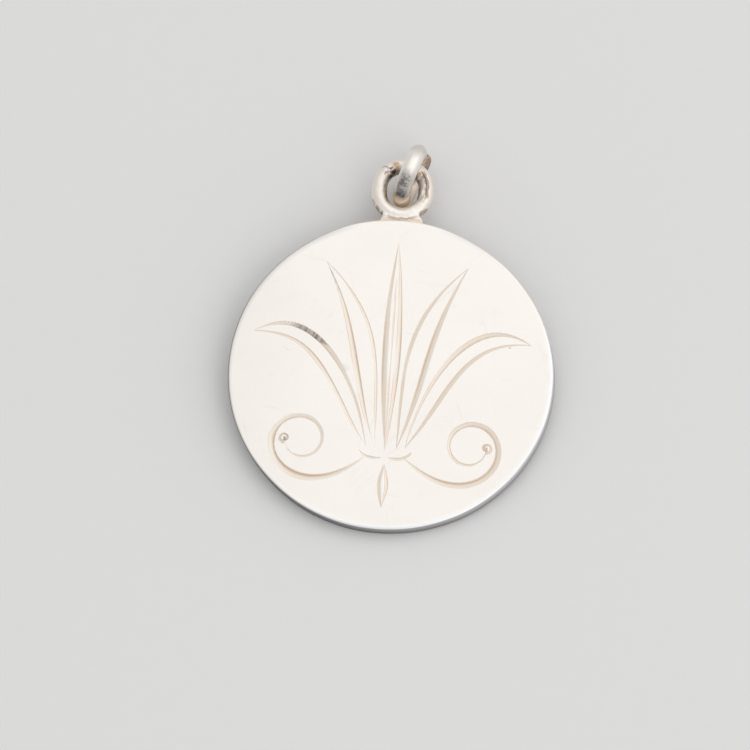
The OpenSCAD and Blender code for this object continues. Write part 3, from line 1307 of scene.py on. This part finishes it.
@dataclass
class EngravedDisc:
    """The disc, its soldered loop and the neck between them, in millimetres."""

    lay: Lay
    disc_r: float = 11.0
    thick: float = 0.95
    edge: float = 0.13
    edge_steps: int = 5
    sides: int = 300
    inset: float = 0.04
    # How far the rim's foot is slanted aside
    slant: Pair = (0.14, -0.03)
    # The hand-filed rim: how far it stands out, its waves (how high, how many round, shifted by how much),
    # and its swell towards the solder (how high, at which angle from +X, and how wide, in degrees)
    filed_out: float = 0.035
    filed_waves: tuple[Triple, ...] = ((0.022, 2, -2.6), (0.018, 3, 1.2), (0.007, 7, 2.1), (0.004, 17, 0.0))
    filed_swell: Triple = (0.20, 92, 26)
    margin: float = 1.5
    loop_wire: float = 1.05
    loop_hole: float = 2.15
    loop_long: float = 0.4
    loop_sides: tuple[int, int] = (128, 40)
    neck_gap: float = 0.2
    neck_w: float = 2.5
    neck_flare: float = 0.8
    neck_root: float = 0.3
    neck_step: float = 0.06
    neck_cuts: int = 23
    neck_fill: float = 0.3
    hollow_sides: int = 96
    hollow_deep: float = 3.0
    flush: float = 0.02
    # Size of the small cubes that the loop and neck run together in, and their wear: its grain and depth
    voxel: float = 0.042
    wear: tuple[Pair, ...] = ((0.9, 0.05), (0.28, 0.025))
    # The small nick in the edge: the middle, radius and stretch of the ball that presses it
    nick: Triple = (1.64, -10.98, 0.505)
    nick_r: float = 0.11
    nick_scale: Triple = (1.0, 1.3, 0.9)
    # The flat that the ring has worn: how deep, its middle and half length in degrees from +X, how many
    # degrees it fades over, how far past the wire's middle it goes, and between what heights it sets in
    flat_deep: float = 0.09
    flat_turn: float = 12.0
    flat_half: float = 44.0
    flat_fade: float = 12.0
    flat_out: float = 0.04
    flat_heights: Pair = (0.1, 0.3)
    # The dents round the nub: how many of how many round it, from which angle, how deep and how wide
    nub_dents: int = 12
    nub_round: int = 16
    nub_start: float = 0.6
    nub_deep: float = 0.035
    nub_reach: float = 0.085
    dents: tuple[Dent, ...] = (
        Dent((-1.02, 14.69, 0.5), (0.03, -0.03, -0.12), 0.20),
        Dent((-1.26, 14.58, 0.5), (0.02, 0.0, -0.09), 0.15),
        Dent((-0.85, 15.05, 0.5), (0.0, 0.0, -0.08), 0.18),
        Dent((1.50, 13.35, 0.5), (-0.02, 0.0, -0.05), 0.32),
        Dent((1.45, 11.25, 0.2), (0.22, -0.04, 0.0), 0.60),
        Dent((1.45, 11.25, -0.3), (0.14, 0.0, 0.0), 0.60),
        Dent((1.28, 13.05, 0.45), (0.0, 0.0, -0.06), 0.25),
        Dent((1.14, 14.40, 0.3), (0.05, 0.0, -0.08), 0.30),
    )

    @property
    def face(self) -> float:
        """Height of the face over the middle of the disc."""
        return self.thick / 2

    @property
    def loop_r(self) -> float:
        """Radius of the middle of the loop's wire."""
        return (self.loop_hole + self.loop_wire) / 2

    @property
    def near_y(self) -> float:
        """Place of the middle of the loop's near half ring."""
        return self.disc_r + self.neck_gap + self.loop_wire / 2 + self.loop_r

    @property
    def far_y(self) -> float:
        """Place of the middle of the loop's far half ring."""
        return self.near_y + self.loop_long

    def filed(self, turn: float) -> float:
        """How far the filed rim stands out of true.

        Args:
            turn: Angle from +X, in radians.

        Returns:
            The distance.
        """
        high, middle, width = self.filed_swell
        swell = high * math.exp(-((math.degrees(turn) - middle) / width) ** 2)
        waves = sum(out * math.sin(often * turn + shift) for out, often, shift in self.filed_waves)
        return swell + self.filed_out + waves

    def blank(self) -> bpy.types.Object:
        """Makes the plain disc, with its edge rounded and filed by hand.

        Returns:
            The disc.
        """
        bpy.ops.mesh.primitive_cylinder_add(vertices=self.sides, radius=self.disc_r, depth=self.thick)
        disc = named("engraved_disc")
        modify(disc, "BEVEL", limit_method="ANGLE", angle_limit=math.radians(50), width=self.edge,
               segments=self.edge_steps)
        with shaping(disc, lambda spot: spot.xy.length < self.disc_r - self.edge + 0.01):
            bpy.ops.mesh.select_mode(type="FACE")
            bpy.ops.mesh.inset(thickness=self.inset, use_individual=True)
        for vertex in disc.data.vertices:
            vertex.co.xy *= 1 + self.filed(math.atan2(vertex.co.y, vertex.co.x)) / self.disc_r
            vertex.co.xy += Vector(self.slant) * ((self.face - vertex.co.z) / self.thick)
        return disc

    def wire_loop(self) -> bpy.types.Object:
        """Makes the oval loop of round wire.

        Returns:
            The loop.
        """
        around, across = self.loop_sides
        bpy.ops.mesh.primitive_torus_add(major_segments=around, minor_segments=across,
                                         major_radius=self.loop_r, minor_radius=self.loop_wire / 2,
                                         location=(0, self.near_y, 0))
        loop = named("loop")
        settle_place(loop)
        with shaping(loop, lambda spot: spot.y > self.near_y + 1e-3):
            bpy.ops.transform.translate(value=(0, self.loop_long, 0))
        return loop

    def neck(self) -> bpy.types.Object:
        """Makes the solder neck, spreading towards the disc and hollowed round the loop's hole.

        Returns:
            The neck.
        """
        half = self.neck_w / 2
        base = math.sqrt(self.disc_r ** 2 - (half + self.neck_flare) ** 2)
        top = self.near_y - self.loop_r
        low = base - self.neck_root
        bpy.ops.mesh.primitive_cube_add(size=1, location=(0, (low + self.near_y) / 2, 0))
        neck = named("neck")
        neck.scale = (self.neck_w, self.near_y - low, self.thick - 2 * self.neck_step)
        settle_place(neck)
        with shaping(neck, lambda spot: True):
            bpy.ops.mesh.subdivide(number_cuts=self.neck_cuts)
        for vertex in neck.data.vertices:
            rise = limited((top - vertex.co.y) / (top - base), 0.0, 1.0)
            vertex.co.x *= (half + self.neck_flare * (1 - math.sqrt(1 - rise * rise))) / half
            vertex.co.z += math.copysign(self.neck_step - self.flush, vertex.co.z) * rise ** self.neck_fill
        bpy.ops.mesh.primitive_cylinder_add(vertices=self.hollow_sides, radius=self.loop_r,
                                            depth=self.hollow_deep, location=(0, self.near_y, 0))
        carve(neck, named("neck hollow"))
        return neck

    def soldered_loop(self) -> bpy.types.Object:
        """Makes the loop and the neck, run together, worn and dented.

        Returns:
            The two as one piece.
        """
        loop = self.wire_loop()
        carve(loop, self.neck(), "UNION")
        modify(loop, "REMESH", mode="VOXEL", voxel_size=self.voxel)
        modify(loop, "SMOOTH", factor=0.5, iterations=5)
        for grain, deep in self.wear:
            weather(loop, grain, deep)
        highest = self.face - self.flush
        for vertex in loop.data.vertices:
            if vertex.co.y < self.disc_r:
                vertex.co.z = limited(vertex.co.z, -highest, highest)
            self.wear_flat(vertex)
        for mark in self.dents:
            mark.press(loop)
        nub = SatinSilver.nub
        for i in range(self.nub_dents):
            out = nub.radius * heading(math.tau * i / self.nub_round + self.nub_start)
            spot = (nub.x + out.x, nub.y + out.y, self.loop_wire / 2)
            Dent(spot, (0, 0, -self.nub_deep), self.nub_reach).press(loop)
        return loop

    def wear_flat(self, vertex: bpy.types.MeshVertex) -> None:
        """Lowers the right inner side of the loop, where the ring has worn a flat into the wire.

        Args:
            vertex: A vertex of the loop, which is lowered if it lies there.
        """
        x, y, z = vertex.co
        low, full = self.flat_heights
        from_mid = math.hypot(x, y - limited(y, self.near_y, self.far_y))
        if z > low and x > 0 and from_mid < self.loop_r + self.flat_out:
            around = abs(math.degrees(math.atan2(y - self.near_y, x)) - self.flat_turn)
            fade = limited((self.flat_half - around) / self.flat_fade, 0.0, 1.0)
            vertex.co.z -= self.flat_deep * fade * min((z - low) / (full - low), 1.0)

    def make(self) -> bpy.types.Object:
        """Builds the piece, lays it on the surface and dresses it.

        Returns:
            The finished piece.
        """
        disc = self.blank()
        graver = Graver(self.disc_r - self.margin, self.face)
        graver.engrave(disc)
        LOG.info("engraving: %d faces", len(disc.data.polygons))
        nick = ball("nick", self.nick_r, self.nick)
        nick.scale = self.nick_scale
        settle_place(nick)
        carve(disc, nick)
        carve(disc, self.soldered_loop(), "UNION")
        lay_down(disc, self.lay.to_world())
        modify(disc, "WEIGHTED_NORMAL", mode="FACE_AREA", weight=50, keep_sharp=True)
        eyes = tuple((eye.x, eye.y) for eye, _, _ in graver.eyes())
        outline = Outline(self.disc_r, self.face, (self.near_y, self.far_y), self.loop_r, eyes)
        SatinSilver().dress(disc, self.lay, outline)
        LOG.info("disc: %d faces", len(disc.data.polygons))
        return disc


@dataclass
class JumpRing:
    """The loose ring of round wire that stands in the loop, in millimetres, with its axis along Z.

    Its cut ends meet on the far side, where it has sprung a little sideways. Angles are in degrees, from
    the ring's lowest point towards its far side.
    """

    to_world: Matrix
    wire: float = 1.15
    hole: float = 2.24
    joint: float = 76.0
    sprung: float = 0.40
    eased: float = 260.0
    sides: tuple[int, int] = (220, 64)
    wear: Pair = (0.7, 0.02)

    @staticmethod
    def turn_of(spot: Vector) -> float:
        """Angle of a place round the ring."""
        return math.degrees(math.atan2(spot.y, spot.x))

    def spring(self, turn: float) -> float:
        """How far the ring stands out sideways at an angle: most at its lower end, easing out from it."""
        if turn >= self.joint:
            return 0.0
        return self.sprung * ease(max(1 - (self.joint - turn) / self.eased, 0.0))

    def make(self) -> bpy.types.Object:
        """Builds the piece, stands it in the loop and dresses it.

        Returns:
            The finished piece.
        """
        around, across = self.sides
        near_joint = 0.6 * 360 / around
        bpy.ops.mesh.primitive_torus_add(major_segments=around, minor_segments=across,
                                         major_radius=(self.hole + self.wire) / 2,
                                         minor_radius=self.wire / 2)
        ring = named("round_jump_ring")
        with shaping(ring, lambda spot: abs(self.turn_of(spot) - self.joint) < near_joint):
            bpy.ops.mesh.delete(type="ONLY_FACE")
            bpy.ops.mesh.select_all(action="DESELECT")
            bpy.ops.mesh.select_non_manifold(extend=False, use_wire=False, use_multi_face=False,
                                             use_non_contiguous=False, use_verts=False)
            bpy.ops.mesh.edge_face_add()
        for vertex in ring.data.vertices:
            vertex.co.z += self.spring(self.turn_of(vertex.co))
        weather(ring, *self.wear)
        lay_down(ring, self.to_world)
        PolishedSilver().dress(ring, self.to_world, self.joint)
        LOG.info("jump ring: %d faces", len(ring.data.polygons))
        return ring


# Studio


@dataclass(frozen=True)
class Softbox:
    """A soft square light: where it stands and its side, in metres, and how bright its surface is."""

    name: str
    spot: Triple
    side: float
    bright: float

    def hang(self) -> None:
        """Adds the light, turned towards the pendant."""
        lamp = bpy.data.lights.new(self.name, "AREA")
        lamp.shape = "SQUARE"
        lamp.size = self.side
        lamp.energy = self.bright * math.pi * self.side ** 2
        stand = bpy.data.objects.new(self.name, lamp)
        bpy.context.scene.collection.objects.link(stand)
        stand.location = self.spot
        stand.rotation_euler = Vector(self.spot).to_track_quat("Z", "Y").to_euler()


@dataclass
class Studio:
    """Camera, lights and floor.

    The camera's angles are in degrees and hold for the tilted disc. Its distance and the height of the face
    that it looks at are in millimetres, and the middle is where that face's middle comes in the picture.
    """

    lay: Lay
    face: float
    far: float = 300.0
    azimuth: float = 6.3
    elevation: float = 70.535
    roll: float = -2.773
    pixels_per_mm: float = 14.775
    picture: int = 750
    middle: Pair = (389.98, 373.65)
    sensor: float = 36.0
    lights: tuple[Softbox, ...] = (
        Softbox("overhead softbox", (0.06, 0.24, 0.52), 0.56, 0.45),
        Softbox("right softbox", (0.46, 0.14, 0.36), 0.56, 0.45),
        Softbox("front softbox", (0.30, -0.36, 0.44), 0.40, 0.95),
    )
    world: Triple = (0.67, 0.665, 0.66)
    floor_side: float = 3.0

    def set_camera(self) -> None:
        """Adds the camera at the photograph's angle and makes it the scene's."""
        turn, rise, lean = (math.radians(part) for part in (self.azimuth, self.elevation, self.roll))
        back = Vector((math.sin(turn) * math.cos(rise), -math.cos(turn) * math.cos(rise), math.sin(rise)))
        right = Vector((math.cos(turn), math.sin(turn), 0))
        up = back.cross(right)
        right, up = (math.cos(lean) * right + math.sin(lean) * up,
                     math.cos(lean) * up - math.sin(lean) * right)
        own = Matrix((right, up, back)).transposed().to_4x4()
        own.translation = (Vector((0, 0, self.face)) + self.far * back) * MM
        lens = bpy.data.cameras.new("camera")
        lens.sensor_width = self.sensor
        lens.lens = self.pixels_per_mm * self.far * self.sensor / self.picture
        lens.shift_x = (self.picture / 2 - self.middle[0]) / self.picture
        lens.shift_y = (self.middle[1] - self.picture / 2) / self.picture
        lens.clip_start = 0.01
        stand = bpy.data.objects.new("camera", lens)
        bpy.context.scene.collection.objects.link(stand)
        stand.matrix_world = self.lay.to_world() @ own
        bpy.context.scene.camera = stand

    def set_lights(self) -> None:
        """Hangs the lights and sets the surroundings."""
        for light in self.lights:
            light.hang()
        world = bpy.data.worlds.new("studio")
        world.use_nodes = True
        world.node_tree.nodes["Background"].inputs[0].default_value = (*self.world, 1)
        bpy.context.scene.world = world
        bpy.context.scene.view_settings.view_transform = "Standard"

    def lay_floor(self) -> None:
        """Lays the floor that the pendant lies on."""
        bpy.ops.mesh.primitive_plane_add(size=self.floor_side)
        floor = named("studio_floor")
        with shaping(floor, lambda spot: True):
            bpy.ops.mesh.subdivide(number_cuts=3)
        PaleFloor().dress(floor)


def main() -> None:
    """Builds the studio and the two pieces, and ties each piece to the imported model."""
    logging.basicConfig(level=logging.INFO, format="%(message)s")
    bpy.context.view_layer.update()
    half_thick = EngravedDisc.thick / 2
    lay = Lay.from_record(frame["record"], half_thick)
    studio = Studio(lay, half_thick)
    studio.set_camera()
    studio.set_lights()
    studio.lay_floor()
    disc = EngravedDisc(lay).make()
    ring = JumpRing(lay.ring_to_world(frame["record"])).make()
    for piece, node, slot in ((disc, "disc", "satin_silver"), (ring, "jump_ring", "polished_silver")):
        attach(piece, "root")
        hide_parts(node)


if __name__ == "__main__":
    main()
